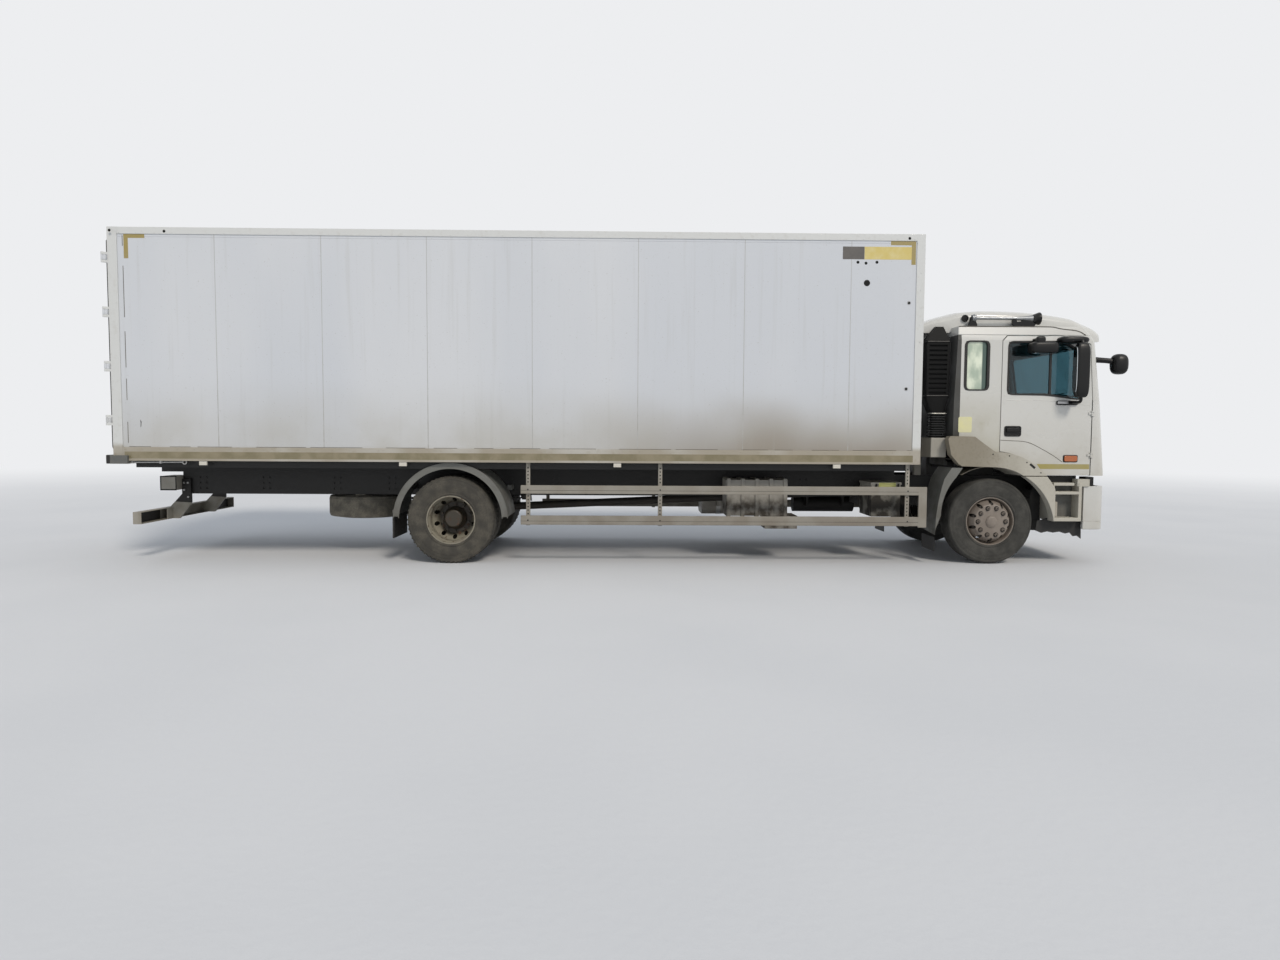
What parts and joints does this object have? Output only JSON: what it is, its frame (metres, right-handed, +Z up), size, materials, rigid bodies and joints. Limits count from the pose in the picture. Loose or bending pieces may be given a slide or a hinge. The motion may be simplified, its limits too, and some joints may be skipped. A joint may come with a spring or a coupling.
{
  "type": "refrigerated truck",
  "caption": "Rigid refrigerated truck with a tilting cab and a long insulated box body with hinged rear doors, for chilled road freight.",
  "frame": {"origin": "on the ground under the middle of the truck's overall box", "axes": "+X to the front of the truck, +Y to its left side, +Z up"},
  "size_m": [12.11, 2.84, 3.8999],
  "materials": {
    "chassis_black": "dull black chassis paint under road dust",
    "axle_steel": "cast and forged steel, dusty",
    "box_skin": "off-white coated sandwich panel",
    "rail_aluminium": "milled aluminium, dulled",
    "sill_steel": "bare steel sheet, worn",
    "zinc_steel": "zinc plated steel",
    "cab_paint": "white-grey cab enamel",
    "dusty_plastic": "grey moulded plastic with dust",
    "black_plastic": "black moulded plastic",
    "tank_grey": "light grey paint",
    "window_glass": "tinted glass",
    "lamp_lens": "lamp lenses",
    "tyre_rubber": "dusty tread rubber",
    "front_rim_paint": "beige-grey wheel paint with dust",
    "rear_rim_paint": "wheel paint brown with rust",
    "seat_fabric": "woven seat cover",
    "engine_grey": "engine casting paint"
  },
  "bodies": {
    "chassis": {"frame_rails": "chassis_black", "cross_members": "chassis_black", "body_bearers": "chassis_black", "cross_bearers": "chassis_black", "front_axle": "axle_steel", "leaf_springs": "chassis_black", "rear_axle": "axle_steel", "engine": "engine_grey", "fuel_tank": "rail_aluminium", "air_tanks": "chassis_black", "silencer": "tank_grey", "battery_box": "tank_grey", "air_intake": "black_plastic", "side_guards": "rail_aluminium", "mudguards": "dusty_plastic", "rear_underrun": "zinc_steel", "spare_wheel": "tyre_rubber", "front_bumper": "cab_paint", "bumper_lip": "cab_paint", "entry_steps": "tank_grey", "lamps": "lamp_lens", "box_floor": "box_skin", "box_side_walls": "box_skin", "box_front_wall": "box_skin", "box_roof": "box_skin", "box_edge_rails": "rail_aluminium", "box_rear_frame": "sill_steel"},
    "cab": {"cab_floor": "chassis_black", "cab_rear_wall": "cab_paint", "cab_sides": "cab_paint", "cab_roof": "cab_paint", "cab_front_panel": "cab_paint", "cab_glass": "window_glass", "roof_fairing": "cab_paint", "front_fenders": "dusty_plastic", "dashboard": "black_plastic", "seats": "seat_fabric", "front_mirror": "black_plastic", "air_horns": "zinc_steel"},
    "tie_rod": {"tie_rod": "axle_steel"},
    "cab_door_left": {"cab_door_left": "cab_paint", "door_glass_left": "window_glass", "door_mirror_left": "black_plastic"},
    "cargo_door_left": {"cargo_door_left": "box_skin", "cargo_lock_bars_left": "zinc_steel"},
    "knuckle_left": {"steering_knuckle_left": "axle_steel"},
    "front_wheel_left": {"front_tyre_left": "tyre_rubber", "front_rim_left": "front_rim_paint"},
    "rear_wheels_left": {"rear_tyres_left": "tyre_rubber", "rear_rims_left": "rear_rim_paint"},
    "cab_door_right": {"cab_door_right": "cab_paint", "door_glass_right": "window_glass", "door_mirror_right": "black_plastic"},
    "cargo_door_right": {"cargo_door_right": "box_skin", "cargo_lock_bars_right": "zinc_steel"},
    "knuckle_right": {"steering_knuckle_right": "axle_steel"},
    "front_wheel_right": {"front_tyre_right": "tyre_rubber", "front_rim_right": "front_rim_paint"},
    "rear_wheels_right": {"rear_tyres_right": "tyre_rubber", "rear_rims_right": "rear_rim_paint"}
  },
  "joints": [
    {"name": "steer_left", "type": "hinge", "parent": "chassis", "child": "knuckle_left", "pos_m": [4.42, 0.87, 0.52], "axis": [0, 0, 1], "range_deg": [-38, 38]},
    {"name": "front_wheel_left_spin", "type": "hinge", "parent": "knuckle_left", "child": "front_wheel_left", "pos_m": [4.42, 1, 0.52], "axis": [0, 1, 0], "continuous": true},
    {"name": "rear_wheels_left_spin", "type": "hinge", "parent": "chassis", "child": "rear_wheels_left", "pos_m": [-2.08, 0.92, 0.52], "axis": [0, 1, 0], "continuous": true},
    {"name": "cab_door_left_hinge", "type": "hinge", "parent": "cab", "child": "cab_door_left", "pos_m": [5.602, 1.162, 1.58], "axis": [0, 0, -1], "range_deg": [0, 70]},
    {"name": "cargo_door_left_hinge", "type": "hinge", "parent": "chassis", "child": "cargo_door_left", "pos_m": [-6.025, 1.322, 2.6], "axis": [0, 0, -1], "range_deg": [0, 270]},
    {"name": "steer_right", "type": "hinge", "parent": "chassis", "child": "knuckle_right", "pos_m": [4.42, -0.87, 0.52], "axis": [0, 0, 1], "range_deg": [-38, 38]},
    {"name": "front_wheel_right_spin", "type": "hinge", "parent": "knuckle_right", "child": "front_wheel_right", "pos_m": [4.42, -1, 0.52], "axis": [0, 1, 0], "continuous": true},
    {"name": "rear_wheels_right_spin", "type": "hinge", "parent": "chassis", "child": "rear_wheels_right", "pos_m": [-2.08, -0.92, 0.52], "axis": [0, 1, 0], "continuous": true},
    {"name": "cab_door_right_hinge", "type": "hinge", "parent": "cab", "child": "cab_door_right", "pos_m": [5.602, -1.162, 1.58], "axis": [0, 0, 1], "range_deg": [0, 70]},
    {"name": "cargo_door_right_hinge", "type": "hinge", "parent": "chassis", "child": "cargo_door_right", "pos_m": [-6.025, -1.322, 2.6], "axis": [0, 0, 1], "range_deg": [0, 270]},
    {"name": "cab_tilt", "type": "hinge", "parent": "chassis", "child": "cab", "pos_m": [5.6, 0, 0.69], "axis": [0, 1, 0], "range_deg": [0, 48]},
    {"name": "tie_rod_left_pin", "type": "hinge", "parent": "knuckle_left", "child": "tie_rod", "pos_m": [4.25, 0.87, 0.42], "axis": [0, 0, 1], "range_deg": [-38, 38]}
  ],
  "couplings": [
    {"joint": "steer_right", "follows": "steer_left", "ratio": 1},
    {"joint": "tie_rod_left_pin", "follows": "steer_left", "ratio": -1}
  ]
}
